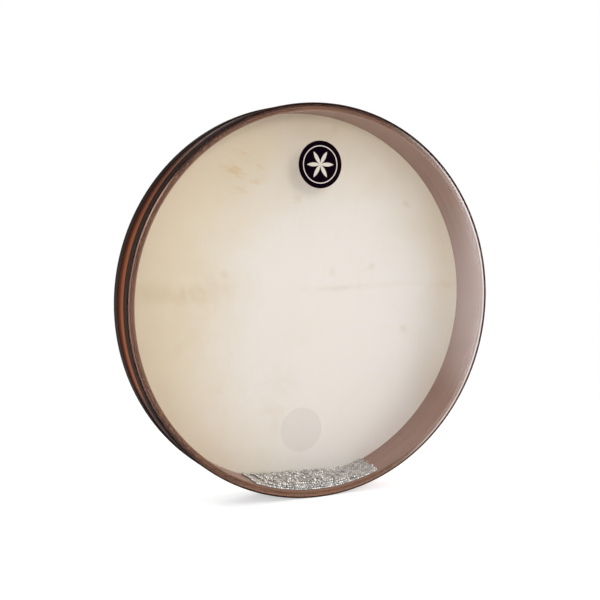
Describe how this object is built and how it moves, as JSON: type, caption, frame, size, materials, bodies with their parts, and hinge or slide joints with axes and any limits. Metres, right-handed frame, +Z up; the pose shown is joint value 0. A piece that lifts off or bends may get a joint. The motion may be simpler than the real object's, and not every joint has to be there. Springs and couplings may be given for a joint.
{
  "type": "sea drum",
  "caption": "Shallow double-headed frame drum with a clear film front head, a skin back head and loose steel balls that roll inside to sound like surf.",
  "frame": {"origin": "centre of the drum: on its axis, halfway between the outer faces of the two heads", "axes": "+Y along the drum's axis, out through the skin head, so that the clear head faces -Y; +Z up as the drum stands on its rim; +X to the right seen from the clear head"},
  "size_m": [0.559, 0.066, 0.559],
  "materials": {
    "clear_film": "gloss",
    "goatskin": "matte",
    "black_band": "satin",
    "badge_print": "satin",
    "steel_balls": "polished",
    "face_ply": "satin",
    "core_ply": "matte"
  },
  "bodies": {
    "drum": {"film_head": "clear_film", "film_skirt": "clear_film", "skin_head": "goatskin", "skin_skirt": "goatskin", "front_band": "black_band", "back_band": "black_band", "front_badge": "badge_print", "back_badge": "badge_print", "shell_ply_1": "face_ply", "shell_ply_2": "core_ply", "shell_ply_3": "core_ply", "shell_ply_4": "core_ply", "shell_ply_5": "face_ply"},
    "balls": {"ball_pool": "steel_balls", "loose_balls": "steel_balls"}
  },
  "joints": [
    {"name": "ball_roll", "type": "hinge", "parent": "drum", "child": "balls", "pos_m": [0, 0, 0], "axis": [0, 1, 0], "continuous": true}
  ]
}
